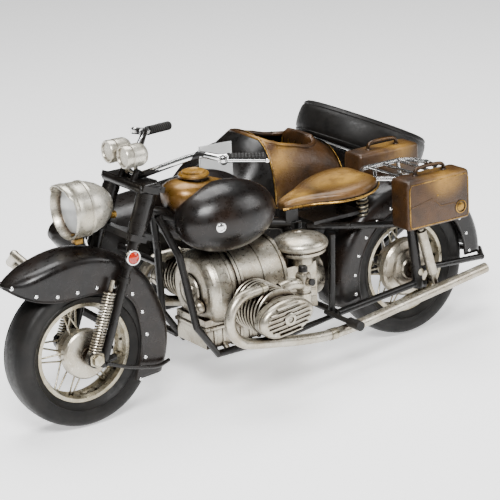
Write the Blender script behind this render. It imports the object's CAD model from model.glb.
"""Tin motorcycle with a torpedo sidecar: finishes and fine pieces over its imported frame."""

from __future__ import annotations

import logging
import math
from dataclasses import dataclass, field
from enum import Enum
from typing import Any, Sequence

import bmesh
import bpy
from mathutils import Matrix, Vector


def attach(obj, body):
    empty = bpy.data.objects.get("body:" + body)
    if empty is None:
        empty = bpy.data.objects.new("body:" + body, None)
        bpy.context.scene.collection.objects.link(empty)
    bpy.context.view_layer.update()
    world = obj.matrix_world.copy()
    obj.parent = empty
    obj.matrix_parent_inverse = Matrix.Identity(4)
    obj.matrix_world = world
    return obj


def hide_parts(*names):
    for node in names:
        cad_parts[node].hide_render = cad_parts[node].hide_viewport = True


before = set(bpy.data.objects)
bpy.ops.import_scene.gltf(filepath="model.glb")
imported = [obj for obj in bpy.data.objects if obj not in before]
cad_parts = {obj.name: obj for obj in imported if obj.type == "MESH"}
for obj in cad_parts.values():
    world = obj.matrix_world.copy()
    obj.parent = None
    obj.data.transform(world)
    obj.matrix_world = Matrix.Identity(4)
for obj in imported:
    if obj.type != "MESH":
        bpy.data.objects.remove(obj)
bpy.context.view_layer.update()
LOG = logging.getLogger("tin_motorcycle")

MM = 0.001
# The frame's origin, from the front axle's foot
ORIGIN_X, ORIGIN_Y = 154.5, 54.5
# The rear axle's place and the height of all three axles
AXLE_X, AXLE_Z = 262.0, 50.0
# The middle of the sidecar's wheel, and the middle plane of its body
SIDE_X, SIDE_Y = 232.0, 165.0
POD_Y = 105.0
SPOKES = 20
RAKE = math.radians(21)
Station = tuple[float, float, float, float]


def at(x: float, y: float, z: float) -> Vector:
    """Places a point given in toy millimetres from the front axle's foot.

    Args:
        x: Distance rearwards from the front axle.
        y: Distance towards the sidecar from the bike's middle plane.
        z: Height above the floor.

    Returns:
        The point in the frame's metres.
    """
    return Vector(((x - ORIGIN_X) * MM, (y - ORIGIN_Y) * MM, z * MM))


def linear(code: str) -> tuple[float, float, float, float]:
    """Turns an sRGB hex code into a linear colour with full alpha.

    Args:
        code: Six hex digits.

    Returns:
        Red, green, blue and alpha.
    """
    def channel(start: int) -> float:
        """Gives one linear channel of the code.

        Args:
            start: Where its two digits start.

        Returns:
            The channel from 0 to 1.
        """
        value = int(code[start:start + 2], 16) / 255.0
        return value / 12.92 if value <= 0.04045 else ((value + 0.055) / 1.055) ** 2.4

    return channel(0), channel(2), channel(4), 1.0


def add(tree: bpy.types.NodeTree, kind: str, inputs: dict[str | int, Any] | None = None,
        **settings: Any) -> bpy.types.Node:
    """Adds a node, sets its properties, and sets or links its inputs.

    Args:
        tree: The node tree to add to.
        kind: The node's type, without the ShaderNode prefix.
        inputs: Values or output sockets by input name or number.
        **settings: The node's own properties.

    Returns:
        The new node.
    """
    made = tree.nodes.new("ShaderNode" + kind)
    for name, value in settings.items():
        setattr(made, name, value)
    for name, value in (inputs or {}).items():
        if isinstance(value, bpy.types.NodeSocket):
            tree.links.new(value, made.inputs[name])
        else:
            made.inputs[name].default_value = value
    return made


class Grain(Enum):
    """The fine surface pattern of a finish."""

    SPECKLE = "speckle"
    HIDE = "hide"
    BRUSHED = "brushed"


@dataclass(frozen=True)
class Finish:
    """One painted, plated or rubber surface of the toy.

    The base colour drifts into a second one in soft patches, a wash lies in the recesses, and
    rubbed spots show the third colour. Each glow is a place and a reach where rubbing has bared
    it. Sizes are in millimetres on the real toy.
    """

    name: str
    base: str
    patch: str
    rub: str
    wash: str
    slot: str
    metallic: float = 0.0
    roughness: float = 0.45
    rough_spread: float = 0.15
    patch_mm: float = 18.0
    grain_mm: float = 1.2
    grain: Grain = Grain.SPECKLE
    bump: float = 0.25
    rub_amount: float = 0.25
    wash_depth: float = 0.0
    wash_mm: float = 6.0
    coat: float = 0.0
    specular: float = 0.5
    glow: tuple[tuple[float, float, float, float], ...] = ()

    def build(self) -> bpy.types.Material:
        """Makes the node material, or gives it again if it is made already.

        Returns:
            The material.
        """
        known = bpy.data.materials.get(self.name)
        if known:
            return known
        material = bpy.data.materials.new(self.name)
        material.use_nodes = True
        tree = material.node_tree
        shader = tree.nodes["Principled BSDF"]
        place = add(tree, "TexCoord").outputs["Object"]
        patches = add(tree, "TexNoise", {"Vector": place, "Scale": 1.0 / (self.patch_mm * MM), "Detail": 5.0,
                                         "Roughness": 0.6})
        spread = add(tree, "MapRange", {0: patches.outputs["Fac"], 1: 0.38, 2: 0.66})
        body = add(tree, "MixRGB", {0: spread.outputs[0], 1: linear(self.base), 2: linear(self.patch)})
        for x, y, z, reach in self.glow:
            away = add(tree, "VectorMath", {0: place, 1: at(x, y, z)}, operation="DISTANCE")
            near = add(tree, "MapRange", {0: away.outputs["Value"], 1: reach * MM, 2: reach * 0.2 * MM,
                                          4: 0.75},
                       interpolation_type="SMOOTHSTEP")
            ragged = add(tree, "Math", {0: near.outputs[0], 1: add(tree, "MapRange", {
                0: patches.outputs["Fac"], 1: 0.32, 2: 0.64}).outputs[0]}, operation="MULTIPLY")
            body = add(tree, "MixRGB", {0: ragged.outputs[0], 1: body.outputs[0], 2: linear(self.rub)})
        flecks = add(tree, "TexNoise", {"Vector": place, "Scale": 1.0 / (self.patch_mm * 0.22 * MM),
                                        "Detail": 8.0, "Roughness": 0.75})
        edge = 0.72 - 0.3 * self.rub_amount
        rubbed = add(tree, "MapRange", {0: flecks.outputs["Fac"], 1: edge, 2: edge + 0.12})
        worn = add(tree, "MixRGB", {0: rubbed.outputs[0], 1: body.outputs[0], 2: linear(self.rub)})
        colour = worn.outputs[0]
        if self.wash_depth > 0.0:
            hollow = add(tree, "AmbientOcclusion", {"Distance": self.wash_mm * MM}, samples=8)
            depth = add(tree, "MapRange", {0: hollow.outputs["AO"], 1: 0.92, 2: 0.92 - self.wash_depth})
            stained = add(tree, "MixRGB", {0: depth.outputs[0], 1: colour, 2: linear(self.wash)})
            colour = stained.outputs[0]
        tree.links.new(colour, shader.inputs["Base Color"])
        shine = add(tree, "MapRange", {0: flecks.outputs["Fac"], 1: 0.3, 2: 0.7,
                                       3: max(0.03, self.roughness - self.rough_spread),
                                       4: min(1.0, self.roughness + self.rough_spread)})
        tree.links.new(shine.outputs[0], shader.inputs["Roughness"])
        shader.inputs["Metallic"].default_value = self.metallic
        shader.inputs["Specular IOR Level"].default_value = self.specular
        shader.inputs["Coat Weight"].default_value = self.coat
        shader.inputs["Coat Roughness"].default_value = 0.2
        tree.links.new(self._relief(tree, place), shader.inputs["Normal"])
        return material

    def _relief(self, tree: bpy.types.NodeTree, place: bpy.types.NodeSocket) -> bpy.types.NodeSocket:
        """Adds the fine grain as a bump.

        Args:
            tree: The material's node tree.
            place: Object coordinates.

        Returns:
            The bump's normal output.
        """
        scale = 1.0 / (self.grain_mm * MM)
        if self.grain is Grain.HIDE:
            cells = add(tree, "TexVoronoi", {"Vector": place, "Scale": scale}, feature="DISTANCE_TO_EDGE")
            height = add(tree, "MapRange", {0: cells.outputs["Distance"], 1: 0.0, 2: 0.25}).outputs[0]
        elif self.grain is Grain.BRUSHED:
            along = add(tree, "Mapping", {"Vector": place, "Scale": (0.08, 1.0, 1.0)})
            height = add(tree, "TexNoise", {"Vector": along.outputs[0], "Scale": scale,
                                            "Detail": 3.0}).outputs["Fac"]
        else:
            height = add(tree, "TexNoise", {"Vector": place, "Scale": scale, "Detail": 4.0}).outputs["Fac"]
        bump = add(tree, "Bump", {"Height": height, "Strength": self.bump,
                                  "Distance": self.grain_mm * MM * 0.25})
        return bump.outputs[0]


# Sprayed satin lacquer over tin plate, dusted and rubbed to brown where hands and cloths wear it
BLACK = Finish("satin_black_lacquer", "0C0B0A", "16120F", "4A3522", "050404", "black_paint", roughness=0.33,
               patch_mm=26, grain_mm=0.9, bump=0.08, rub_amount=0.05, coat=0.06, specular=0.3)
FENDER = Finish("rubbed_black_lacquer", "0E0C0B", "1E1611", "5A3E24", "060504", "black_paint", roughness=0.32,
                patch_mm=30, grain_mm=1.1, bump=0.06, rub_amount=0.06, coat=0.08, specular=0.32)
# Silver paint rubbed over with a dark wax that stays in every recess
SILVER = Finish("antique_silver_paint", "B9B3A4", "9C9280", "E6E2D8", "2A1C0F", "aged_silver", metallic=0.85,
                roughness=0.33, patch_mm=12, grain_mm=0.8, bump=0.2, rub_amount=0.5, wash_depth=0.42,
                wash_mm=9)
CREAM = Finish("silver_cream_enamel", "C6C2B6", "ABA492", "E4E1D8", "4A3826", "aged_silver", metallic=0.7,
               roughness=0.3, patch_mm=16, grain_mm=0.8, bump=0.12, rub_amount=0.35, wash_depth=0.45,
               wash_mm=7)
# Dull nickel plating yellowed by lacquer
NICKEL = Finish("yellowed_nickel", "B3AC9A", "8A8068", "DED8C8", "2A2014", "wheel_silver", metallic=0.9,
                roughness=0.32, patch_mm=9, grain_mm=0.7, bump=0.15, rub_amount=0.4, wash_depth=0.5,
                wash_mm=4, grain=Grain.BRUSHED)
CHROME = Finish("bright_chrome", "CFCDC8", "AAA8A2", "EDECE8", "1E1914", "bright_chrome", metallic=1.0,
                roughness=0.18, rough_spread=0.08, patch_mm=12, grain_mm=0.6, bump=0.05, rub_amount=0.2,
                wash_depth=0.4, wash_mm=4)
# Bronze lacquer brushed thin over dark brown, so gold shows on the high places
BRONZE = Finish("brushed_bronze_lacquer", "55380F", "2A1A09", "C08E36", "140B05", "bronze_paint",
                metallic=0.5,
                roughness=0.34, patch_mm=20, grain_mm=1.4, grain=Grain.HIDE, bump=0.12, rub_amount=0.3,
                wash_depth=0.35, wash_mm=7, coat=0.2, glow=((96, -4, 150, 34), (126, -6, 140, 26)))
SADDLE = Finish("aged_saddle_lacquer", "5E3F14", "2E1D0A", "D2A148", "140C05", "bronze_paint", metallic=0.4,
                roughness=0.36, patch_mm=14, grain_mm=1.3, grain=Grain.HIDE, bump=0.3, rub_amount=0.3,
                wash_depth=0.35, wash_mm=6, coat=0.15, glow=((214, 0, 124, 30), (176, 0, 120, 16)))
CASE = Finish("brown_case_lacquer", "452C12", "24170A", "B98A3A", "0E0804", "brown_paint", metallic=0.3,
              roughness=0.38, patch_mm=18, grain_mm=1.6, grain=Grain.HIDE, bump=0.3, rub_amount=0.2,
              wash_depth=0.35, wash_mm=5, coat=0.1,
              glow=((266, -46, 127, 24), (286, 42, 127, 26), (206, 78, 132, 34), (190, 70, 104, 26)))
GOLD = Finish("worn_gold_trim", "A07C3A", "5E421C", "DDB566", "1E1208", "bronze_paint", metallic=0.85,
              roughness=0.3, patch_mm=7, grain_mm=0.6, bump=0.2, rub_amount=0.4, wash_depth=0.4, wash_mm=2)
# Vulcanised rubber with a dusty bloom
RUBBER = Finish("dusty_tyre_rubber", "100F0E", "1C1A18", "38322C", "070606", "tyre_rubber", roughness=0.5,
                patch_mm=14, grain_mm=0.7, bump=0.2, rub_amount=0.08, specular=0.25)
RED = Finish("red_lens_enamel", "B02408", "861604", "E05A30", "3A0C06", "red_lens", roughness=0.15,
             rough_spread=0.06, patch_mm=3, grain_mm=0.8, bump=0.08, rub_amount=0.1, coat=0.8)


@dataclass(frozen=True)
class Glass:
    """Clear moulded acetate sheet with fine scratches."""

    name: str = "clear_acetate"
    tint: str = "F2F3F2"
    alpha: float = 0.5
    slot: str = "clear_lens"

    def build(self) -> bpy.types.Material:
        """Makes the clear material.

        Returns:
            The material.
        """
        known = bpy.data.materials.get(self.name)
        if known:
            return known
        material = bpy.data.materials.new(self.name)
        material.use_nodes = True
        tree = material.node_tree
        shader = tree.nodes["Principled BSDF"]
        place = add(tree, "TexCoord").outputs["Object"]
        haze = add(tree, "TexNoise", {"Vector": place, "Scale": 220.0, "Detail": 6.0})
        tone = add(tree, "MixRGB", {0: haze.outputs["Fac"], 1: linear(self.tint), 2: linear("DDDFDF")})
        tree.links.new(tone.outputs[0], shader.inputs["Base Color"])
        shine = add(tree, "MapRange", {0: haze.outputs["Fac"], 3: 0.03, 4: 0.2})
        tree.links.new(shine.outputs[0], shader.inputs["Roughness"])
        shader.inputs["Alpha"].default_value = self.alpha
        return material


PANE = Glass()
LENS = Glass("domed_lamp_glass", "F2F2EE", 0.5)


def swell(value: float, power: float) -> float:
    """Raises a sine or cosine to a power and keeps its sign, which squares off a round section.

    Args:
        value: The sine or cosine.
        power: 1 for a circle, less for a squarer section.

    Returns:
        The raised value.
    """
    return math.copysign(abs(value) ** power, value)


def basis(direction: Vector, origin: Vector, side: Vector | None = None) -> Matrix:
    """Makes a placing matrix whose Z axis follows a direction.

    Args:
        direction: Where local Z points.
        origin: Where the local origin goes.
        side: A vector that local X leans towards.

    Returns:
        A rigid 4x4 matrix.
    """
    z = direction.normalized()
    hint = side if side is not None else (Vector((0, 0, 1)) if abs(z.z) < 0.9 else Vector((1, 0, 0)))
    x = (hint - z * hint.dot(z)).normalized()
    return Matrix.Translation(origin) @ Matrix((x, z.cross(x), z)).transposed().to_4x4()


def turned(bm: bmesh.types.BMesh, profile: Sequence[tuple[float, float]], place: Matrix,
           steps: int = 48) -> None:
    """Spins a profile about its axis and puts it in place.

    Args:
        bm: The mesh to add to.
        profile: Pairs of radius and height in millimetres.
        place: The matrix that carries the local Z axis to its line.
        steps: Faces around the axis.
    """
    verts = [bm.verts.new((r * MM, 0.0, h * MM)) for r, h in profile]
    edges = [bm.edges.new(pair) for pair in zip(verts, verts[1:])]
    made = bmesh.ops.spin(bm, geom=verts + edges, cent=(0, 0, 0), axis=(0, 0, 1), angle=math.tau, steps=steps,
                          use_merge=True, use_duplicate=False)
    everything = list({v for f in bm.faces for v in f.verts if not v.tag} | set(verts)
                      | {g for g in made["geom_last"] if isinstance(g, bmesh.types.BMVert)})
    bmesh.ops.transform(bm, matrix=place, verts=everything)
    bmesh.ops.remove_doubles(bm, verts=everything, dist=1e-6)
    for v in bm.verts:
        v.tag = True


def skinned(bm: bmesh.types.BMesh, rings: Sequence[Sequence[Vector]], closed: bool = True,
            capped: bool = True) -> None:
    """Draws a skin through rings of points by pulling one ring's edges to the next.

    Args:
        bm: The mesh to add to.
        rings: Rings of equal length.
        closed: Whether each ring closes on itself.
        capped: Whether the two ends are filled.
    """
    count = len(rings[0])
    if closed:
        row = bmesh.ops.create_circle(bm, cap_ends=False, radius=1.0, segments=count)["verts"]
        edges = list({e for v in row for e in v.link_edges})
    else:
        row = [bm.verts.new((0, 0, 0)) for _ in range(count)]
        edges = [bm.edges.new(pair) for pair in zip(row, row[1:])]
    for v, co in zip(row, rings[0]):
        v.co = co
    ends = [edges]
    for ring in rings[1:]:
        old = {v: i for i, v in enumerate(row)}
        geom = bmesh.ops.extrude_edge_only(bm, edges=edges)["geom"]
        fresh = [g for g in geom if isinstance(g, bmesh.types.BMVert)]
        edges = [g for g in geom if isinstance(g, bmesh.types.BMEdge)]
        row = [None] * count
        for v in fresh:
            for e in v.link_edges:
                if e.other_vert(v) in old:
                    row[old[e.other_vert(v)]] = v
        for v, co in zip(row, ring):
            v.co = co
        edges = [e for e in edges if e.verts[0] in fresh and e.verts[1] in fresh]
    ends.append(edges)
    if capped and closed:
        for rim in ends:
            bmesh.ops.edgeloop_fill(bm, edges=rim)
    for v in bm.verts:
        v.tag = True


def smooth_path(points: Sequence[Vector], steps: int = 6) -> list[Vector]:
    """Runs a smooth curve through points.

    Args:
        points: The points to pass through.
        steps: Pieces between each pair of points.

    Returns:
        The points of the curve.
    """
    padded = [points[0] * 2 - points[1], *points, points[-1] * 2 - points[-2]]
    out: list[Vector] = []
    for a, b, c, d in zip(padded, padded[1:], padded[2:], padded[3:]):
        for i in range(steps):
            t = i / steps
            out.append(0.5 * (2 * b + (c - a) * t + (2 * a - 5 * b + 4 * c - d) * t * t
                              + (3 * b - a - 3 * c + d) * t ** 3))
    out.append(points[-1].copy())
    return out


def tube(bm: bmesh.types.BMesh, path: Sequence[Vector], radius: float, sides: int = 14,
         radii: Sequence[float] | None = None) -> None:
    """Makes a round tube along a path, without twist.

    Args:
        bm: The mesh to add to.
        path: Points of the centre line.
        radius: Radius in millimetres.
        sides: Faces around the tube.
        radii: A radius for every point, in place of the one radius.
    """
    rings = []
    side: Vector | None = None
    for i, point in enumerate(path):
        ahead = path[min(i + 1, len(path) - 1)] - path[max(i - 1, 0)]
        m = basis(ahead, point, side)
        side = m.to_3x3() @ Vector((1, 0, 0))
        r = (radii[i] if radii else radius) * MM
        rings.append([m @ Vector((r * math.cos(math.tau * k / sides), r * math.sin(math.tau * k / sides), 0))
                      for k in range(sides)])
    skinned(bm, rings)


def block(bm: bmesh.types.BMesh, low: Vector, high: Vector, bevel: float = 0.0, segments: int = 3) -> None:
    """Adds a box with rounded edges.

    Args:
        bm: The mesh to add to.
        low: Its lowest corner.
        high: Its highest corner.
        bevel: Edge radius in millimetres.
        segments: Segments of the rounding.
    """
    size = high - low
    place = Matrix.Translation((low + high) / 2) @ Matrix.Diagonal((*size, 1))
    verts = bmesh.ops.create_cube(bm, size=1.0, matrix=place)["verts"]
    if bevel > 0:
        edges = list({e for v in verts for e in v.link_edges})
        bmesh.ops.bevel(bm, geom=verts + edges, offset=bevel * MM, segments=segments, profile=0.5,
                        affect="EDGES", material=-1)
    for v in bm.verts:
        v.tag = True


def dome(bm: bmesh.types.BMesh, centre: Vector, normal: Vector, radius: float, height: float,
         steps: int = 12) -> None:
    """Adds a rivet head or boss on a surface.

    Args:
        bm: The mesh to add to.
        centre: The point on the surface.
        normal: The surface's outward direction.
        radius: Foot radius in millimetres.
        height: Height in millimetres.
        steps: Faces around it.
    """
    turned(bm, [(radius, -0.3 * radius), (radius, 0.1 * height), (radius * 0.8, height * 0.65),
                (radius * 0.42, height * 0.94), (0.0, height)], basis(normal, centre), steps)


@dataclass
class Part:
    """A sub-assembly of the toy: the body it rides on and the way its pieces are finished."""

    body: str = "chassis"

    def piece(self, name: str, bm: bmesh.types.BMesh, finish: Finish | Glass, replaces: Sequence[str] = (),
              sharp: float = 38.0, solid: float = 0.0, subdivide: int = 0, body: str
              | None = None) -> bpy.types.Object:
        """Turns a mesh into a finished object that moves with its body.

        Args:
            name: The piece's name.
            bm: The mesh, which is freed.
            finish: Its surface.
            replaces: Nodes it stands for.
            sharp: Angle above which an edge stays crisp, in degrees.
            solid: Sheet thickness in millimetres, inwards, or 0.
            subdivide: Levels of subdivision.
            body: Another body than the sub-assembly's own.

        Returns:
            The object.
        """
        bmesh.ops.recalc_face_normals(bm, faces=bm.faces)
        mesh = bpy.data.meshes.new(name)
        bm.to_mesh(mesh)
        bm.free()
        mesh.materials.append(finish.build())
        for polygon in mesh.polygons:
            polygon.use_smooth = True
        mesh.set_sharp_from_angle(angle=math.radians(sharp))
        made = bpy.data.objects.new(name, mesh)
        bpy.context.scene.collection.objects.link(made)
        if solid > 0:
            shell = made.modifiers.new("sheet", "SOLIDIFY")
            shell.thickness = solid * MM
            shell.offset = -1.0
        if subdivide:
            soft = made.modifiers.new("soft", "SUBSURF")
            soft.levels = soft.render_levels = subdivide
        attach(made, body or self.body)
        if replaces:
            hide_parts(*replaces)
        LOG.info("%s: %d faces on %s", name, len(mesh.polygons), body or self.body)
        return made


@dataclass
class Wheels(Part):
    """Tyres with tread grooves, rim beads, hub fittings and axle nuts."""

    tyre_r: float = 50.0
    half_w: float = 13.0
    rim_r: float = 33.3

    def tyre_profile(self) -> list[tuple[float, float]]:
        """Gives half the tyre's section, mirrored to a whole.

        Returns:
            Pairs of radius and width.
        """
        r, w = self.tyre_r, self.half_w
        half = [(self.rim_r, 7.6), (35.0, 9.2), (37.0, 10.6), (37.8, 11.9), (38.6, 11.4), (41.0, 12.4),
                (44.0, w),
                (46.4, 12.5), (48.0, 11.2), (48.7, 10.0), (48.3, 9.4), (48.5, 8.8), (49.2, 7.8), (49.6, 5.8),
                (49.9, 3.4), (r, 1.2)]
        return half + [(a, -b) for a, b in reversed(half)] + [half[0]]

    def make(self, name: str, body: str, centre: Vector, axis: Vector, hub_bolts: float, rim: bool) -> None:
        """Builds one wheel's tyre and fittings.

        Args:
            name: The wheel's name.
            body: The body it turns with.
            centre: Its centre.
            axis: Its axle direction, pointing to the visible side.
            hub_bolts: Radius of the bolt circle on the hub, or 0.
            rim: Whether to add the rim's nipples.
        """
        bm = bmesh.new()
        turned(bm, self.tyre_profile(), basis(axis, centre), 96)
        self.piece(f"{name}_tyre_skin", bm, RUBBER, (f"{name}_tyre",), body=body)
        bm = bmesh.new()
        if rim:
            for i in range(SPOKES):
                turn = Matrix.Rotation(math.tau * i / SPOKES, 4, axis)
                out = turn @ (basis(axis, Vector()).to_3x3() @ Vector((1, 0, 0)))
                dome(bm, centre + out * 31.4 * MM + axis * (1.2 if i % 2 else -1.2) * MM, -out, 1.0, 2.6, 8)
        if hub_bolts:
            for side in (-1, 1):
                for i in range(8):
                    out = Matrix.Rotation(math.tau * i / 8, 4, axis) @ (basis(axis, Vector()).to_3x3()
                                                                        @ Vector((1, 0, 0)))
                    dome(bm, centre + out * hub_bolts * MM + axis * side * 8.5 * MM, axis * side, 0.9, 0.8, 8)
        if bm.verts:
            self.piece(f"{name}_wheel_fittings", bm, NICKEL, body=body)
        else:
            bm.free()

    def build(self) -> None:
        """Builds the four wheels."""
        side = Vector((0, -1, 0))
        self.make("front", "front_wheel", at(0, 0, AXLE_Z), side, 0.0, True)
        self.make("rear", "rear_wheel", at(AXLE_X, 0, AXLE_Z), side, 0.0, True)
        self.make("sidecar", "sidecar_wheel", at(SIDE_X, SIDE_Y, AXLE_Z), side, 10.5, True)
        slope = math.radians(26)
        up = Vector((math.sin(slope), 0, math.cos(slope)))
        spare = at(309, POD_Y - 1, 117.5)
        self.make("spare", "chassis", spare, up, 0.0, False)
        bm = bmesh.new()
        turned(bm, [(0, 12.6), (2.4, 12.4), (3.6, 11.0), (3.6, 8.6), (5.6, 8.0), (5.6, 5.2), (9.0, 4.4),
                    (9.0, 1.0)],
               basis(up, spare))
        self.piece("spare_wheel_knob", bm, CHROME)
        bm = bmesh.new()
        for i in range(12):
            out = Matrix.Rotation(math.tau * i / 12, 4, up) @ Vector((math.cos(slope), 0, -math.sin(slope)))
            dome(bm, spare + out * 27.0 * MM + up * 1.3 * MM, up, 1.5, 1.4)
        self.piece("spare_wheel_studs", bm, NICKEL)


@dataclass
class Guard(Part):
    """A folded sheet guard over a wheel, drawn from its outer and inner edge lines seen from the side."""

    name: str = "guard"
    outer: Sequence[tuple[float, float]] = ()
    inner: Sequence[tuple[float, float]] = ()
    half: Sequence[float] = ()
    mid_y: float = 0.0
    shoulder: float = 7.0
    node: str = ""
    rivet_every: float = 12.0

    def section(self, out: Vector, low: Vector, half: float) -> list[Vector]:
        """Gives one cross-section from the near lower edge over the crown to the far one.

        Args:
            out: The crown's point in the middle plane.
            low: The skirt's edge in the middle plane.
            half: Half the width.

        Returns:
            The section's points.
        """
        rise = out - low
        tall = rise.length
        up = rise.normalized()
        bend = min(self.shoulder * MM, tall * 0.45, half * MM * 0.8)
        points = []
        flank = [(half * MM, t * (tall - bend)) for t in (0.0, 0.04, 0.3, 0.6, 0.9, 1.0)]
        curve = [(half * MM - bend * (1 - math.cos(a)), tall - bend + bend * 0.86 * math.sin(a))
                 for a in (math.radians(k * 18) for k in range(1, 6))]
        crown = [((half * MM - bend) * k, tall - 0.14 * bend * k * k) for k in (0.66, 0.33, 0.0)]
        near = flank + curve + crown
        for y, h in near:
            points.append(low + up * h + Vector((0, -y, 0)))
        for y, h in reversed(near[:-1]):
            points.append(low + up * h + Vector((0, y, 0)))
        return points

    def build(self) -> None:
        """Builds the sheet, its edge bead and its rivets."""
        outs = smooth_path([at(x, self.mid_y, z) for x, z in self.outer], 3)
        lows = smooth_path([at(x, self.mid_y, z) for x, z in self.inner], 3)
        halves = [v.x for v in smooth_path([Vector((h, 0, 0)) for h in self.half], 3)]
        bm = bmesh.new()
        skinned(bm, [self.section(o, l, h) for o, l, h in zip(outs, lows, halves)], closed=False,
                capped=False)
        self.piece(f"{self.name}_sheet", bm, FENDER, (self.node,), solid=1.0, sharp=50)
        bm = bmesh.new()
        for side in (-1, 1):
            edge = [l + (o - l).normalized() * 0.8 * MM + Vector((0, side * (h - 0.4) * MM, 0))
                    for o, l, h in zip(outs, lows, halves)]
            tube(bm, edge, 0.9, 8)
        self.piece(f"{self.name}_edge_bead", bm, FENDER)
        bm = bmesh.new()
        travelled = self.rivet_every * 0.6
        for i in range(1, len(lows)):
            travelled += (lows[i] - lows[i - 1]).length / MM
            if travelled >= self.rivet_every and halves[i] > 4:
                travelled = 0.0
                foot = lows[i] + (outs[i] - lows[i]).normalized() * 4.2 * MM
                for side in (-1, 1):
                    dome(bm, foot + Vector((0, side * (halves[i] - 0.15) * MM, 0)), Vector((0, side, 0)),
                         1.5, 1.1)
        self.piece(f"{self.name}_rivets", bm, CHROME)


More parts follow.
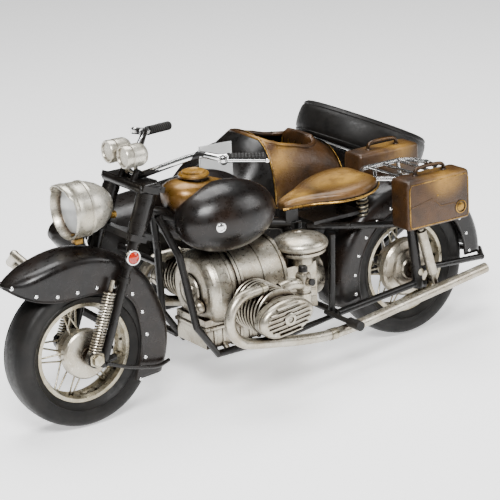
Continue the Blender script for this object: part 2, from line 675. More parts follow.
@dataclass
class Fork(Part):
    """Springs, reflectors, lamp, bars and gauges of the steering."""

    body: str = "steering"
    leg_y: float = 21.2

    def leg(self, side: int, z: float) -> Vector:
        """Gives a point on a fork leg's line at a height.

        Args:
            side: -1 for the left leg, 1 for the right.
            z: The height.

        Returns:
            The point.
        """
        return at(47 - (153 - z) * math.tan(RAKE), side * self.leg_y, z)

    def springs(self) -> None:
        """Builds the coil springs and their plain rods."""
        bm = bmesh.new()
        for side in (-1, 1):
            low, high = self.leg(side, 53) + Vector((-0.0085, 0, 0)), self.leg(side,
                                                                               91) + Vector((-0.0085, 0, 0))
            m = basis(high - low, low, Vector((1, 0, 0)))
            turns, tall = 22, (high - low).length
            coil = [m @ Vector((3.7 * MM * math.cos(t), 3.7 * MM * math.sin(t),
                                tall * t / (math.tau * turns)))
                    for t in (math.tau * turns * k / (turns * 14) for k in range(turns * 14 + 1))]
            tube(bm, coil, 0.68, 6)
            tube(bm, [low - (high - low) * 0.08, high + (high - low) * 0.2], 1.6)
        self.piece("fork_coil_springs", bm, SILVER, ("fork_springs",))

    def reflectors(self) -> None:
        """Builds the round side reflectors in their plated cups."""
        cups, lenses = bmesh.new(), bmesh.new()
        for side in (-1, 1):
            spot = self.leg(side, 112) + Vector((-0.001, side * 3.0 * MM, 0))
            m = basis(Vector((0, side, 0)), spot)
            turned(cups, [(0, 0.2), (5.0, 0.2), (5.2, 1.0), (5.2, 3.0), (4.8, 3.6), (4.2, 3.6), (4.0, 2.8)],
                   m, 32)
            turned(lenses, [(4.1, 2.6), (3.6, 3.9), (2.4, 4.6), (1.0, 4.95), (0, 5.0)], m, 32)
        self.piece("reflector_cups", cups, CHROME, ("side_reflectors",))
        self.piece("reflector_lenses", lenses, RED)

    def lamp(self) -> None:
        """Builds the bullet headlamp with its peak, seam ring and domed glass."""
        centre = at(2, 0, 143)
        m = basis(Vector((1, 0, 0)), centre)
        bm = bmesh.new()
        shell = [(15.4, 3.0), (15.9, 0.4), (17.2, -3.8), (17.9, -4.6), (18.4, -4.0), (18.4, -2.6),
                 (18.0, -2.0), (18.0, 2.0),
                 (17.7, 7.4), (18.2, 7.8), (18.2, 9.4), (17.5, 9.8), (16.6, 14.0), (14.6, 19.2),
                 (11.6, 23.8), (7.6, 27.4), (3.2, 29.5), (0, 30.0)]
        turned(bm, shell, m, 64)
        self.piece("headlamp_bullet", bm, CREAM, ("headlamp_shell",))
        bm = bmesh.new()
        rows = []
        for k, (r, reach) in enumerate(((18.2, -1.4), (18.45, -3.6), (18.4, -5.8), (18.1, -8.2))):
            spread = math.radians(78 - 12 * k)
            rows.append([centre + Vector((reach * MM * (1.0 if abs(a) < spread * 0.6 else 0.86),
                                          r * MM * math.sin(a), r * MM * math.cos(a)))
                         for a in (spread * (j / 9.0 - 1.0) for j in range(19))])
        skinned(bm, rows, closed=False, capped=False)
        self.piece("headlamp_peak", bm, CREAM, solid=0.9)
        bm = bmesh.new()
        turned(bm, [(15.6, 1.6), (12.6, 0.4), (8.0, -0.6), (0, -1.2)], m, 48)
        self.piece("headlamp_glass", bm, LENS, ("headlamp_lens",))
        bm = bmesh.new()
        turned(bm, [(15.4, 2.2), (12.4, 5.4), (7.4, 8.0), (2.2, 9.2), (0, 9.4)], m, 48)
        self.piece("headlamp_bowl", bm, CHROME)
        bm = bmesh.new()
        turned(bm, [(0, -3.5), (2.6, -3.5), (2.6, 2.0), (2.0, 3.0), (0, 3.0)],
               basis(Vector((0.3, 0, -1)), at(4, -2, 125)), 20)
        block(bm, at(1.5, -5, 121), at(7.5, 1, 125.5), 0.8)
        tube(bm, [at(24, 0, 137), at(34, 0, 134)], 2.6)
        self.piece("headlamp_clamp", bm, GOLD)

    def bars(self) -> None:
        """Builds the bent bar, its ribbed grips, bosses and the gauge pods."""
        bar, grip, boss = bmesh.new(), bmesh.new(), bmesh.new()
        left = [at(112, -57.7, 168.5), at(88, -48, 170.5), at(80, -36, 171.6), at(71, -27, 168.4),
                at(54, -13, 161), at(50, -4, 158.4)]
        right = [Vector((p.x, 2 * at(0, 0, 0).y - p.y, p.z)) for p in reversed(left)]
        tube(bar, smooth_path(left + right, 6), 2.1, 16)
        for side in (-1, 1):
            a, b = at(90.9, side * 49.2, 170.3), at(113.3, side * 58.2, 168.4)
            count = 60
            ridge = [3.15 - 0.35 * (0.5 + 0.5 * math.cos(math.tau * 11 * k / count))
                     for k in range(count + 1)]
            ridge[0] = ridge[1] = 3.2
            ridge[-1] = 2.4
            tube(grip, [a.lerp(b, k / count) for k in range(count + 1)], 3.1, 20, ridge)
            p = at(88, side * 48, 170.4)
            tube(boss, [p - Vector((0.0024, side * 0.001, 0)), p + Vector((0.0024, side * 0.001, 0))], 2.8)
            pivot = at(84.4, side * 54.1, 170.6)
            tube(boss, [at(88, side * 48, 170.5), pivot + (at(88, side * 48, 170.5) - pivot) * 0.55], 1.9, 12)
            dome(boss, pivot + Vector((0, 0, 1.9 * MM)), Vector((0, 0, 1)), 1.7, 0.7)
        self.piece("bent_bar", bar, CHROME)
        self.piece("ribbed_grips", grip, RUBBER, ("grips",))
        self.piece("bar_bosses", boss, CHROME)
        pods = bmesh.new()
        for side in (-1, 1):
            m = basis(Vector((1, 0, 0)), at(46, side * 10, 173))
            turned(pods, [(0, -7.9), (5.6, -7.9), (6.2, -8.9), (7.2, -8.9), (7.6, -8.2), (7.6, -5.2),
                          (7.1, -4.8),
                          (7.1, -3.9), (7.6, -3.5), (7.6, 3.2), (7.2, 4.6), (6.0, 6.6), (3.4, 8.3),
                          (0, 8.9)], m, 40)
            tube(pods, smooth_path([at(46.5, side * 9.4, 168), at(48, side * 7, 162),
                                    at(49, side * 4, 156.5)], 4), 1.3, 12)
        self.piece("gauge_pods", pods, CREAM, ("instrument_cans",))

    def legs(self) -> None:
        """Adds the shrouds, collars, steering stays and axle nuts that dress the plain legs."""
        black, plated = bmesh.new(), bmesh.new()
        for side in (-1, 1):
            tube(black, [self.leg(side, 150.5), self.leg(side, 121)], 5.6, 24)
            for z, r in ((146, 5.9), (130, 5.9), (121.5, 4.6), (106, 4.4), (97, 4.2)):
                p = self.leg(side, z)
                d = (self.leg(side, 150) - self.leg(side, 50)).normalized()
                tube(black, [p - d * 1.6 * MM, p + d * 1.6 * MM], r, 24)
            tube(black, smooth_path([at(6, side * 25.2, 46), at(24, side * 25.0, 39), at(44, side * 23.4, 34),
                                     at(56, side * 18.6, 34)], 5), 1.3, 10)
            m = basis(Vector((0, side, 0)), at(0, side * 25.2, 50))
            turned(plated, [(5.0, -2.0), (5.6, -1.2), (5.6, -0.2), (4.2, 0.2), (4.2, 0.6), (3.8, 2.8),
                            (0, 2.9)], m, 6)
        block(black, at(39.5, -25.5, 150.6), at(57, 25.5, 156.4), 2.6, 4)
        self.piece("fork_collars_and_stays", black, BLACK)
        self.piece("front_axle_nuts", plated, NICKEL)

    def build(self) -> None:
        """Builds all the fork's fine pieces."""
        for step in (self.springs, self.reflectors, self.lamp, self.bars, self.legs):
            step()


@dataclass
class Engine(Part):
    """The flat twin: case details, finned cylinders, covers, carburettors and pipes."""

    cyl_x: float = 117.0
    cyl_z: float = 62.0

    def covers(self) -> None:
        """Builds the ribbed oval rocker covers."""
        bm = bmesh.new()
        tilt = math.radians(6)
        for side in (-1, 1):
            m = (Matrix.Translation(at(self.cyl_x, side * 62, self.cyl_z)) @ Matrix.Rotation(-tilt, 4, "Y")
                 @ Matrix.Rotation(math.radians(-90 * side), 4, "X"))
            rings = []
            for a, b, h in ((21.0, 12.1, 0.0), (21.0, 12.1, 4.2), (20.2, 11.4, 4.6), (20.2, 11.4, 5.4),
                            (20.8, 12.0, 5.8),
                            (20.6, 11.8, 7.4), (19.2, 10.6, 9.0), (16.0, 8.4, 10.0), (8.0, 4.2, 10.3)):
                rings.append([m @ Vector((a * MM * math.cos(math.tau * k / 56),
                                          b * MM * math.sin(math.tau * k / 56), h * MM))
                              for k in range(56)])
            skinned(bm, rings)
            for k in range(-3, 4):
                reach = 17.0 * math.sqrt(max(0.05, 1 - (k * 3.0 / 10.4) ** 2))
                low = Vector((-reach * MM, (k * 3.0 - 0.62) * MM, 8.6 * MM))
                high = Vector((reach * MM, (k * 3.0 + 0.62) * MM, 11.2 * MM))
                before = set(bm.verts)
                block(bm, low, high, 0.5, 2)
                bmesh.ops.transform(bm, matrix=m, verts=[v for v in bm.verts if v not in before])
            turned(bm, [(4.4, 8.0), (4.4, 11.4), (3.6, 12.0), (2.2, 12.0), (2.0, 11.2), (0, 11.2)], m, 24)
        self.piece("rocker_cover_caps", bm, SILVER, ("rocker_covers",))

    def fins(self) -> None:
        """Builds the cylinders with thin, closely set fins."""
        bm = bmesh.new()
        for side in (-1, 1):
            m = basis(Vector((0, side, 0)), at(self.cyl_x, 0, self.cyl_z), Vector((1, 0, 0)))
            profile: list[tuple[float, float]] = [(0, 27.5), (12.6, 27.5)]
            for k in range(9):
                h = 29.0 + k * 3.65
                profile += [(12.6, h), (16.4, h), (16.95, h + 0.5), (16.95, h + 1.0), (16.4, h + 1.5),
                            (12.6, h + 1.5)]
            profile += [(12.6, 62.0), (0, 62.0)]
            turned(bm, profile, m, 48)
            for k in range(4):
                a = math.radians(45 + 90 * k)
                p = at(self.cyl_x + 14.2 * math.cos(a), side * 28, self.cyl_z + 14.2 * math.sin(a))
                tube(bm, [p, p + Vector((0, side * 34 * MM, 0))], 0.9, 8)
        self.piece("finned_cylinders", bm, SILVER, ("cylinders",))

    def case(self) -> None:
        """Adds the drum's bands, the cover's spigot, bolts and the sump's ribs."""
        bm = bmesh.new()
        m = basis(Vector((1, 0, 0)), at(0, 0, 70), Vector((0, 0, 1)))
        for x, r in ((104.4, 28.1), (112.0, 27.7), (130.0, 27.5), (146.0, 27.8)):
            turned(bm, [(26.4, x - 1.4), (r, x - 1.0), (r, x + 1.0), (26.4, x + 1.4)], m, 72)
        turned(bm, [(12.0, 86.4), (11.6, 85.4), (10.2, 85.0), (9.4, 85.6), (6.6, 85.6), (6.0, 84.6),
                    (4.0, 84.4), (0, 84.4)], m, 40)
        for k in range(10):
            a = math.tau * k / 10
            dome(bm, at(96.6, 24.0 * math.sin(a), 70 + 24.0 * math.cos(a)),
                 Vector((-0.75, 0.66 * math.sin(a), 0.66 * math.cos(a))), 1.3, 1.2, 8)
        for x in range(92, 150, 7):
            block(bm, at(x, -18.8, 31.8), at(x + 2.4, 18.8, 46.0), 0.7, 2)
        block(bm, at(84.6, -19.2, 45.4), at(152.4, 19.2, 48.2), 0.8)
        for x in (90, 104, 120, 136, 148):
            for side in (-1, 1):
                dome(bm, at(x, side * 19.2, 46.8), Vector((0, side, 0)), 1.1, 0.8, 8)
        for z in (50, 56, 62):
            block(bm, at(150, -20.6, z), at(175, 20.6, z + 1.6), 0.5, 2)
        self.piece("crankcase_bands_and_bolts", bm, SILVER)

    def pipes(self) -> None:
        """Builds the exhaust pipes, their clamps and the intake elbows."""
        bm, clamps = bmesh.new(), bmesh.new()
        for side in (-1, 1):
            bend = [at(98 + 16.4 * math.cos(math.radians(92 + 18.5 * k)), side * (54 + 0.4 * k),
                       62.5 + 16.4 * math.sin(math.radians(92 + 18.5 * k))) for k in range(10)]
            line = [at(112, side * 53, 79.3), *bend, at(112, side * 56, 42.6), at(140, side * 50.5, 36),
                    at(168, side * 46, 31.7), at(200, side * 42, 32.2), at(234, side * 38.5, 35),
                    at(313.6, side * 35, 43.9)]
            curve = smooth_path(line, 4)
            tube(bm, curve, 3.7, 20)
            for p, q in ((at(110.6, side * 53.1, 79.2), at(107.4, side * 53.3, 79.2)),
                         (at(166, side * 46.3, 31.9), at(172, side * 45.5, 31.6))):
                tube(clamps, [p, q], 4.1, 24)
            elbow = smooth_path([at(130, side * 42, 72), at(140, side * 42, 73), at(150.5, side * 40.4, 70)],
                                5)
            tube(bm, elbow, 3.8, 16)
        self.piece("exhaust_runs", bm, SILVER, ("exhaust_pipes",))
        self.piece("exhaust_clamps", clamps, NICKEL)

    def intake(self) -> None:
        """Builds the carburettor bodies and the mushroom air cleaner."""
        bm, caps = bmesh.new(), bmesh.new()
        up = Vector((0, 0, 1))
        for side in (-1, 1):
            m = basis(up, at(151, side * 40, 0))
            turned(bm, [(0, 56.2), (4.2, 56.2), (5.2, 57.4), (5.2, 64.0), (4.4, 64.6), (4.4, 66.0),
                        (5.3, 66.6), (5.3, 75.6), (4.8, 77.6), (3.3, 78.0), (3.3, 79.0), (0, 79.2)], m, 32)
            turned(caps, [(3.3, 78.8), (3.3, 81.6), (2.6, 82.8), (0, 82.9)], m, 24)
            tube(bm, [at(151, side * 43.6, 72), at(152, side * 48.4, 73)], 2.3)
            tube(caps, [at(152, side * 47.6, 73), at(152.2, side * 49.4, 73.2)], 2.5)
        self.piece("carburettor_bodies", bm, SILVER, ("carburettors",))
        self.piece("carburettor_knobs", caps, BLACK)
        bm = bmesh.new()
        turned(bm, [(0, 76), (8.8, 76), (8.8, 81.6), (15.4, 83.2), (17.6, 84.6), (17.6, 86.4), (16.9, 86.9),
                    (16.9, 87.7),
                    (19.1, 88.4), (19.4, 89.6), (19.4, 91.0), (18.2, 92.8), (15.6, 94.8), (12.0, 96.2),
                    (8.0, 96.9), (4.0, 97.2), (3.6, 96.6), (0, 96.6)], basis(up, at(166, -16, 0)), 56)
        self.piece("air_cleaner_mushroom", bm, SILVER, ("air_cleaner",))

    def build(self) -> None:
        """Builds all the engine's pieces."""
        for step in (self.covers, self.fins, self.case, self.pipes, self.intake):
            step()


@dataclass
class Tank(Part):
    """The tank's bronze saddle top, its side pods, cap and plain round badges."""

    def build(self) -> None:
        """Builds the tank's pieces."""
        stations = [(71.8, 136.6, 6, 5), (76, 136.2, 12.4, 9.6), (82, 134.4, 17, 13),
                    (95, 132.2, 19.4, 15.4), (108, 129.6, 19.6, 15.4),
                    (124, 125.4, 17.4, 13.6), (138, 121, 13.6, 11.2), (149, 117, 9.2, 8.4),
                    (155, 114.6, 5.4, 5.6)]
        rings = []
        for x, z, w, h in stations:
            rings.append([at(x, w * swell(math.cos(a), 0.8),
                             z + h * swell(math.sin(a), 0.8))
                          for a in (math.tau * k / 32 for k in range(32))])
        bm = bmesh.new()
        skinned(bm, rings)
        self.piece("tank_top", bm, BRONZE, ("fuel_tank",), subdivide=1, sharp=60)
        bm = bmesh.new()
        for side in (-1, 1):
            before = set(bm.verts)
            bmesh.ops.create_uvsphere(bm, u_segments=64, v_segments=32, radius=1.0)
            fresh = [v for v in bm.verts if v not in before]
            bmesh.ops.transform(bm, matrix=Matrix.Translation(at(107.5, side * 16, 122))
                                @ Matrix.Diagonal((0.0371, 0.0227, 0.0237, 1)), verts=fresh)
        bmesh.ops.bisect_plane(bm, geom=bm.verts[:] + bm.edges[:] + bm.faces[:], plane_co=at(0, 0, 100.2),
                               plane_no=(0, 0, -1), clear_outer=True)
        self.piece("tank_side_pods", bm, FENDER, ("tank_domes",), sharp=60)
        cap, badge = bmesh.new(), bmesh.new()
        turned(cap, [(0, 145.6), (8.6, 145.6), (8.6, 147.0), (10.3, 148.0), (10.4, 149.4), (9.6, 150.4),
                     (8.0, 150.6), (7.6, 151.8),
                     (5.0, 152.4), (4.4, 151.9), (0, 151.9)], basis(Vector((0, 0, 1)), at(95, 0, 0)), 40)
        self.piece("filler_cap", cap, BRONZE, ("fuel_cap",))
        for side in (-1, 1):
            out = Vector((-0.22, side, 0.02)).normalized()
            m = basis(out, at(91, side * 36.6, 121.5))
            turned(badge, [(0, 0.9), (1.8, 0.8), (2.4, 0.4), (2.6, 0.7), (3.3, 0.6), (3.4, -1.6)], m, 32)
        self.piece("round_badges", badge, CHROME)


@dataclass
class Seats(Part):
    """The rider's saddle and the passenger's seat."""

    def saddle(self) -> None:
        """Builds the dished saddle, its rolled rim and its pan."""
        stations = [(161.6, 112.6, 4.6, 2.4), (165, 113.6, 6.6, 3.6), (171, 114.6, 8.4, 4.6),
                    (178, 115.2, 11.2, 5.2),
                    (185, 115.8, 15.6, 5.6), (192, 116.3, 20.6, 6.0), (200, 117.0, 25.0, 6.4),
                    (210, 118.0, 27.4, 6.8),
                    (219, 119.2, 27.4, 6.8), (227, 120.4, 24.0, 6.0), (233.5, 121.2, 17.6, 4.2)]
        rings = []
        for i, (x, z, w, h) in enumerate(stations):
            ring = []
            for k in range(36):
                a = math.tau * k / 36
                c, s = math.cos(a), math.sin(a)
                dish = (-2.6 * math.exp(-((c / 0.5) ** 2)) * (s > 0) * min(1.0, i / 4)
                        * (1.0 if i < 9 else 0.4))
                ring.append(at(x, w * swell(c, 0.75), z + h * swell(s, 0.7) + dish))
            rings.append(ring)
        bm = bmesh.new()
        skinned(bm, rings)
        self.piece("saddle_cover", bm, SADDLE, ("rider_saddle",), subdivide=1, sharp=70)
        bm = bmesh.new()
        left = [at(x, -w - 0.1, z - h * 0.35) for x, z, w, h in stations]
        right = [at(x, w + 0.1, z - h * 0.35) for x, z, w, h in stations]
        tube(bm, smooth_path(left, 4), 0.8, 8)
        tube(bm, smooth_path(right, 4), 0.8, 8)
        self.piece("saddle_piping", bm, GOLD)
        bm = bmesh.new()
        for side in (-1, 1):
            coil = [at(222 + 3.6 * math.cos(t), side * 13 + 3.6 * math.sin(t),
                       96.5 + 14.5 * t / (math.tau * 5))
                    for t in (math.tau * 5 * k / 90 for k in range(91))]
            tube(bm, coil, 0.8, 6)
        self.piece("saddle_coils", bm, NICKEL)

    def passenger(self) -> None:
        """Builds the passenger's padded seat and back."""
        bm = bmesh.new()
        block(bm, at(200.6, 81.4, 62.4), at(239.4, 128.6, 76.6), 4.0, 4)
        self.piece("passenger_cushion", bm, CASE)
        bm = bmesh.new()
        rings = []
        for k, (z, grow) in enumerate(((64, 0.94), (74, 1.0), (90, 1.0), (106, 1.0), (120, 0.98), (127, 0.9),
                                       (130.4, 0.7))):
            x = 239.6 + (z - 60) * 0.1405
            rings.append([at(x + 3.9 + 3.6 * swell(math.sin(a), 0.6) * (0.9 if k < 6 else 0.5),
                             105 + 21.6 * grow * swell(math.cos(a), 0.45), z)
                          for a in (math.tau * j / 36 for j in range(36))])
        skinned(bm, rings)
        self.piece("passenger_back", bm, CASE, ("sidecar_seat",), sharp=60)
        bm = bmesh.new()
        for y in (89, 97, 105, 113, 121):
            line = [at(239.8 + (z - 60) * 0.1405, y, z) for z in (72, 90, 108, 124)]
            tube(bm, line, 0.55, 6)
        self.piece("passenger_seat_seams", bm, GOLD)

    def build(self) -> None:
        """Builds both seats."""
        self.saddle()
        self.passenger()


@dataclass
class Luggage(Part):
    """The two side cases with piping, stitched flaps, latches and strap handles."""

    x0: float = 233.0
    z0: float = 90.0
    y0: float = 30.0
    long: float = 55.0
    tall: float = 36.0
    wide: float = 21.0

    def build(self) -> None:
        """Builds both cases."""
        for side, word in ((-1, "left"), (1, "right")):
            self.case(side, word)

    def face(self, side: int, x: float, z: float, proud: float = 0.0) -> Vector:
        """Gives a point on a case's outer face.

        Args:
            side: -1 for the left case, 1 for the right.
            x: Distance rearwards.
            z: Height.
            proud: How far outside the face, in millimetres.

        Returns:
            The point.
        """
        return at(x, side * (self.y0 + self.wide - 0.5 + proud), z)

    def case(self, side: int, word: str) -> None:
        """Builds one case.

        Args:
            side: -1 for the left case, 1 for the right.
            word: The side's name.
        """
        x0 = self.x0 + (20 if side > 0 else 0)
        x1, z1 = x0 + self.long, self.z0 + self.tall
        inner, outer = side * self.y0, side * (self.y0 + self.wide - 0.5)
        lo, hi = min(inner, outer), max(inner, outer)
        bm = bmesh.new()
        block(bm, at(x0 + 0.3, lo, self.z0 + 0.3), at(x1 - 0.3, hi, z1 - 0.2), 3.2, 4)
        self.piece(f"side_case_{word}", bm, CASE, (f"case_{word}",))
        bm = bmesh.new()
        corners = [(x0 + 3, self.z0 + 2.4), (x1 - 3, self.z0 + 2.4), (x1 - 2.0, self.z0 + 5),
                   (x1 - 2.0, z1 - 6), (x1 - 3.4, z1 - 3.2),
                   (x0 + 3.4, z1 - 3.2), (x0 + 2.0, z1 - 6), (x0 + 2.0, self.z0 + 5), (x0 + 3, self.z0 + 2.4)]
        for depth in (outer - side * 0.5, inner + side * 2.4):
            tube(bm, [at(x, depth, z) for x, z in corners], 0.6, 8)
        self.piece(f"case_piping_{word}", bm, GOLD)
        bm = bmesh.new()
        flap = [self.face(side, x0 + x, self.z0 + z, -0.3) for x,
                z in ((3, 17), (21, 20.5), (28.5, 14), (40, 14), (44, 10))]
        tube(bm, flap, 0.6, 6)
        self.piece(f"case_stitching_{word}", bm, BRONZE)
        bm = bmesh.new()
        out = Vector((0, side, 0))
        dome(bm, self.face(side, x0 + 26, self.z0 + 22, -0.4), out, 1.0, 0.8, 10)
        dome(bm, self.face(side, x1 - 9, self.z0 + 10, -0.3), out, 3.6, 0.7, 24)
        turned(bm, [(4.6, -0.2), (4.8, 0.5), (3.9, 0.7), (3.7, 0.1)],
               basis(out, self.face(side, x1 - 9, self.z0 + 10, -0.2)), 28)
        self.piece(f"case_latch_{word}", bm, GOLD)
        bm = bmesh.new()
        mid, y = x0 + self.long / 2, side * (self.y0 + self.wide / 2 - 1)
        strap = smooth_path([at(mid - 13, y, z1 - 0.4), at(mid - 11.6, y, z1 + 3.6),
                             at(mid - 6, y, z1 + 5.0), at(mid + 6, y, z1 + 5.0),
                             at(mid + 11.6, y, z1 + 3.6), at(mid + 13, y, z1 - 0.4)], 5)
        tube(bm, strap, 1.35, 10)
        for k in (-12.6, 12.6):
            dome(bm, at(mid + k, y, z1 - 0.3), Vector((0, 0, 1)), 2.2, 1.2, 16)
        self.piece(f"case_strap_{word}", bm, BRONZE, ("case_handles",) if side < 0 else ())


@dataclass
class Sidecar(Part):
    """The torpedo body with its band, trims, cockpit roll, wind pane and studs."""

    stations: Sequence[Station] = field(default_factory=lambda: [
        (40, 98, 92, 4.6), (43.5, 101, 87.6, 9), (49, 103.6, 81, 14.4), (56, 105.9, 76, 18.2),
                                                                 (68, 107.4, 67.6, 23.4),
        (85, 108.8, 58.4, 28.0), (106, 110.4, 51.6, 32.0), (130, 112, 46.2, 34.8), (152, 113.8, 42.6, 36.4),
        (165, 115.1, 41.2, 37.1), (173, 117.4, 40.4, 37.6), (180, 120.6, 40.1, 37.9),
                                                                 (185, 125.6, 39.6, 37.9),
        (190, 131.0, 39.1, 37.9), (195, 135.2, 38.6, 37.9), (200, 138.2, 38.2, 37.9),
                                                                 (206, 140.2, 38.1, 37.9),
        (212, 141.0, 38.1, 37.9), (220, 140.4, 38.1, 37.9), (228, 138.9, 38.2, 37.9),
                                                                 (245, 132.8, 39.2, 37.9),
        (258, 127.0, 40.2, 37.4), (270, 120.8, 41.2, 36.3), (285, 113.4, 43.4, 34.7),
                                                                 (300, 105.8, 46.2, 32.5),
        (318, 97.2, 50.4, 28.4), (335, 88.3, 55.2, 23.4), (345, 83.4, 58.8, 18.6), (352, 79.8, 62.2, 14.8),
        (357, 77.2, 65.2, 10.4), (359.6, 75.2, 67.8, 6.6)])

    def ring(self, station: Station, grow: float = 0.0, count: int = 56) -> list[Vector]:
        """Gives the body's section at a station.

        Args:
            station: Its x, top, bottom and half width.
            grow: How far outside the skin, in millimetres.
            count: Points around it.

        Returns:
            The section's points.
        """
        x, top, low, half = station
        mid, tall = (top + low) / 2, (top - low) / 2 + grow
        return [at(x, POD_Y + (half + grow) * swell(math.cos(a), 0.75),
                   mid + tall * swell(math.sin(a), 0.75))
                for a in (math.tau * k / count for k in range(count))]

    def between(self, x: float) -> Station:
        """Gives the section's sizes at any place along the body.

        Args:
            x: The place.

        Returns:
            The place, top, bottom and half width.
        """
        for a, b in zip(self.stations, self.stations[1:]):
            if a[0] <= x <= b[0]:
                t = (x - a[0]) / (b[0] - a[0])
                return (x, *(p + (q - p) * t for p, q in zip(a[1:], b[1:])))
        return self.stations[-1]

    def hull(self) -> None:
        """Builds the body shell with its cockpit cut out."""
        bm = bmesh.new()
        fine = [self.between(x) for x in sorted({*(s[0] for s in self.stations), *range(196, 264, 3)})]
        skinned(bm, [self.ring(s) for s in fine])
        gone = [f for f in bm.faces if f.normal.z != 0 and self.in_cockpit(f.calc_center_median())]
        bmesh.ops.delete(bm, geom=gone, context="FACES")
        self.piece("torpedo_shell", bm, BLACK, ("sidecar_body",), sharp=60)

    @staticmethod
    def in_cockpit(p: Vector) -> bool:
        """Tells whether a point of the skin lies in the cockpit's opening.

        Args:
            p: The point.

        Returns:
            True inside the opening.
        """
        c = at(229, POD_Y, 0)
        u, v = (p.x - c.x) / (27 * MM), (p.y - c.y) / (27 * MM)
        return p.z > 100 * MM and abs(u) ** 3 + abs(v) ** 3 < 1.0

    def trims(self) -> None:
        """Builds the brown scuttle band, the plated trims and the padded cockpit roll."""
        band, gold, roll = bmesh.new(), bmesh.new(), bmesh.new()
        count = 56
        rings = [self.ring(self.between(x), 0.35, count)[:count // 2 + 1] for x in range(204, 267, 2)]
        skinned(band, rings, closed=False, capped=False)
        bmesh.ops.delete(band, geom=[f for f in band.faces if self.in_cockpit(f.calc_center_median())],
                         context="FACES")
        self.piece("scuttle_band", band, CASE, solid=0.3, sharp=60)
        for x in (204, 267):
            tube(gold, self.ring(self.between(x), 0.3, count)[:count // 2 + 1], 0.6, 8)
        self.piece("scuttle_trims", gold, GOLD)
        rim = []
        for k in range(73):
            a = math.tau * k / 72
            x = 229 + 27 * swell(math.cos(a), 2 / 3)
            y = 27 * swell(math.sin(a), 2 / 3)
            _, top, low, half = self.between(x)
            mid, tall = (top + low) / 2, (top - low) / 2
            z = mid + tall * (1 - min(1.0, abs(y) / half) ** (2 / 0.75)) ** (0.75 / 2)
            rim.append(at(x, POD_Y + y, z - 0.9))
        tube(roll, rim, 1.9, 12)
        self.piece("cockpit_roll", roll, CASE)

    def pane(self) -> None:
        """Builds the small wind pane with its plated frame and studs."""
        y = POD_Y - 35 + 0.6
        outline = [at(144, y, 93), at(143.2, y, 145.6), at(170.6, y, 144.6), at(170.6, y, 93)]
        bm = bmesh.new()
        face = bm.faces.new([bm.verts.new(p - Vector((0, 0.5 * MM, 0))) for p in outline])
        made = bmesh.ops.extrude_face_region(bm, geom=[face])
        raised = [g for g in made["geom"] if isinstance(g, bmesh.types.BMVert)]
        bmesh.ops.translate(bm, vec=(0, 0.9 * MM, 0), verts=raised)
        self.piece("wind_pane", bm, PANE, ("sidecar_screen",))
        bm = bmesh.new()
        tube(bm, [outline[0], outline[1] + Vector((0.0008, 0, -0.0008)),
                  outline[2] + Vector((-0.0006, 0, -0.0008)), outline[3] + Vector((-0.0006, 0, 0))], 0.55, 8)
        self.piece("wind_pane_frame", bm, CHROME)

    def fittings(self) -> None:
        """Adds the studs along the body's near side."""
        bm = bmesh.new()
        for x in range(60, 170, 24):
            _, top, low, half = self.between(x)
            dome(bm, at(x, POD_Y - half * 0.995, (top + low) / 2), Vector((0, -1, 0)), 1.2, 0.8, 10)
        self.piece("sidecar_side_studs", bm, CHROME)

    def build(self) -> None:
        """Builds the sidecar's pieces."""
        for step in (self.hull, self.trims, self.pane, self.fittings):
            step()


@dataclass
class Studio:
    """The pale floor, soft lights and the camera."""

    lens_mm: float = 137.6
    sensor_mm: float = 36.0
    floor_half: float = 6.0

    def build(self) -> None:
        """Builds the studio."""
        scene = bpy.context.scene
        bm = bmesh.new()
        bmesh.ops.create_grid(bm, x_segments=1, y_segments=1, size=self.floor_half)
        mesh = bpy.data.meshes.new("floor")
        bm.to_mesh(mesh)
        bm.free()
        floor = bpy.data.objects.new("floor", mesh)
        paper = bpy.data.materials.new("pale_paper")
        paper.use_nodes = True
        shader = paper.node_tree.nodes["Principled BSDF"]
        shader.inputs["Base Color"].default_value = (0.92, 0.92, 0.92, 1)
        shader.inputs["Emission Color"].default_value = (1, 1, 1, 1)
        shader.inputs["Emission Strength"].default_value = 0.75
        shader.inputs["Roughness"].default_value = 0.9
        shader.inputs["Specular IOR Level"].default_value = 0.1
        mesh.materials.append(paper)
        scene.collection.objects.link(floor)
        world = bpy.data.worlds.new("white_room")
        world.use_nodes = True
        tree = world.node_tree
        heading = add(tree, "SeparateXYZ", {0: add(tree, "TexCoord").outputs["Generated"]})
        glow = add(tree, "MapRange", {0: heading.outputs["Z"], 1: 0.05, 2: 0.85, 3: 0.12, 4: 1.1})
        tree.links.new(glow.outputs[0], tree.nodes["Background"].inputs[1])
        scene.world = world
        for name, place, power, size in (("key", (-0.6, -0.9, 1.1), 34.0, 0.5),
                                         ("fill", (0.9, -0.8, 0.7), 9.0, 0.7),
                                         ("top", (0.1, 0.3, 1.3), 24.0, 0.9)):
            light = bpy.data.lights.new(name, "AREA")
            light.energy, light.size = power, size
            lamp = bpy.data.objects.new(name, light)
            lamp.matrix_world = basis(Vector(place) - Vector((0, 0, 0.08)), Vector(place))
            scene.collection.objects.link(lamp)
        lens = bpy.data.cameras.new("camera")
        lens.lens, lens.sensor_width = self.lens_mm, self.sensor_mm
        lens.clip_start, lens.clip_end = 0.05, 30.0
        camera = bpy.data.objects.new("camera", lens)
        right, up = Vector((0.8293, -0.5565, -0.0512)), Vector((0.2087, 0.2234, 0.9521))
        back = Vector((-0.5184, -0.8003, 0.3014))
        turn = Matrix((right, up, back)).transposed().to_4x4()
        camera.matrix_world = Matrix.Translation(at(-534.8, -1035.5, 477.7)) @ turn
        scene.collection.objects.link(camera)
        scene.camera = camera


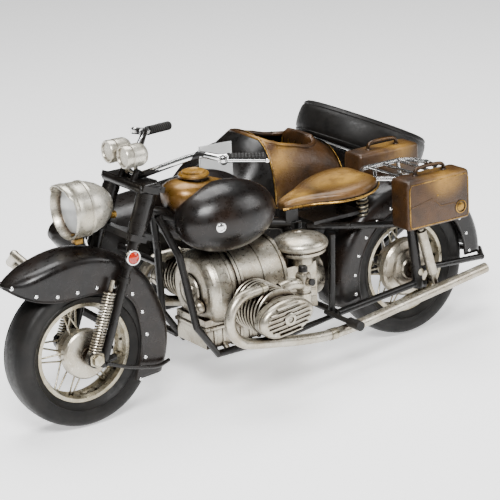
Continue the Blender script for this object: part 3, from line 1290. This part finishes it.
FRAME_FINISHES: dict[str, Finish | Glass] = {
    **dict.fromkeys(("front_rim", "rear_rim", "sidecar_rim", "front_spokes", "rear_spokes", "sidecar_spokes",
                     "front_axle", "rear_axle"), NICKEL),
    **dict.fromkeys(("front_hub", "rear_hub", "sidecar_hub", "crankcase", "gearbox", "gear_lever",
                     "rear_dampers"), SILVER),
    **dict.fromkeys(("clutch_lever", "brake_lever", "rear_rack"), CHROME),
    "footpegs": RUBBER, "chassis_rail_far": SILVER,
}


def dress_frame() -> None:
    """Gives every plain frame node its finish."""
    for name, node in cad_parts.items():
        finish = FRAME_FINISHES.get(name, BLACK)
        node.data.materials.clear()
        node.data.materials.append(finish.build())


def arc(cx: float, cz: float, r: float, start: float, stop: float, count: int) -> list[tuple[float, float]]:
    """Gives points of an arc seen from the side.

    Args:
        cx: Centre along the bike.
        cz: Centre height.
        r: Radius.
        start: First angle in degrees.
        stop: Last angle in degrees.
        count: Number of points.

    Returns:
        Pairs of x and z.
    """
    steps = [math.radians(start + (stop - start) * k / (count - 1)) for k in range(count)]
    return [(cx + r * math.cos(a), cz + r * math.sin(a)) for a in steps]


def guards() -> list[Guard]:
    """Gives the three guards.

    Returns:
        The front, rear and sidecar guards.
    """
    nose = [(-50.6, 104.6), (-45, 108), (-36, 112), (-20, 116.4), (-6, 118.4), (9, 117.6), (23, 113.4),
            (36, 105.6), (47, 94), (54.6, 80), (59.6, 64), (60.6, 49), (58.6, 37), (55, 27)]
    lip = [(-50.2, 103.4), (-43, 98), (-33, 93.4), (-20, 90.6), (-6, 90.2), (8, 90.2), (20, 88.2),
           (29.6, 83), (35, 75), (37.4, 64), (38.2, 53), (36.6, 42), (33.4, 33), (31, 25.4)]
    return [
        Guard("steering", "front_guard", nose, lip, [3.0, 9.5, 14.5, 16.6] + [17.0] * 10, 0.0, 7.0,
              "front_fender"),
        Guard("chassis", "rear_guard", arc(AXLE_X, AXLE_Z, 65.6, 194, 0, 22),
              arc(AXLE_X, AXLE_Z, 47.4, 194, 0, 22), [17.0] * 22, 0.0,
              8.0, "rear_fender"),
        Guard("chassis", "sidecar_guard", arc(SIDE_X, AXLE_Z, 65.6, 188, 7, 22),
              arc(SIDE_X, AXLE_Z, 52.6, 188, 7, 22), [17.0] * 22,
              SIDE_Y, 8.0, "sidecar_fender"),
    ]


def main() -> None:
    """Builds the toy's finishes and pieces, then the studio."""
    logging.basicConfig(level=logging.INFO, format="%(message)s")
    dress_frame()
    parts: list[Part] = [Wheels(), *guards(), Fork(), Engine(), Tank(), Seats(), Luggage(), Sidecar()]
    for part in parts:
        part.build()
    Studio().build()


if __name__ == "__main__":
    main()
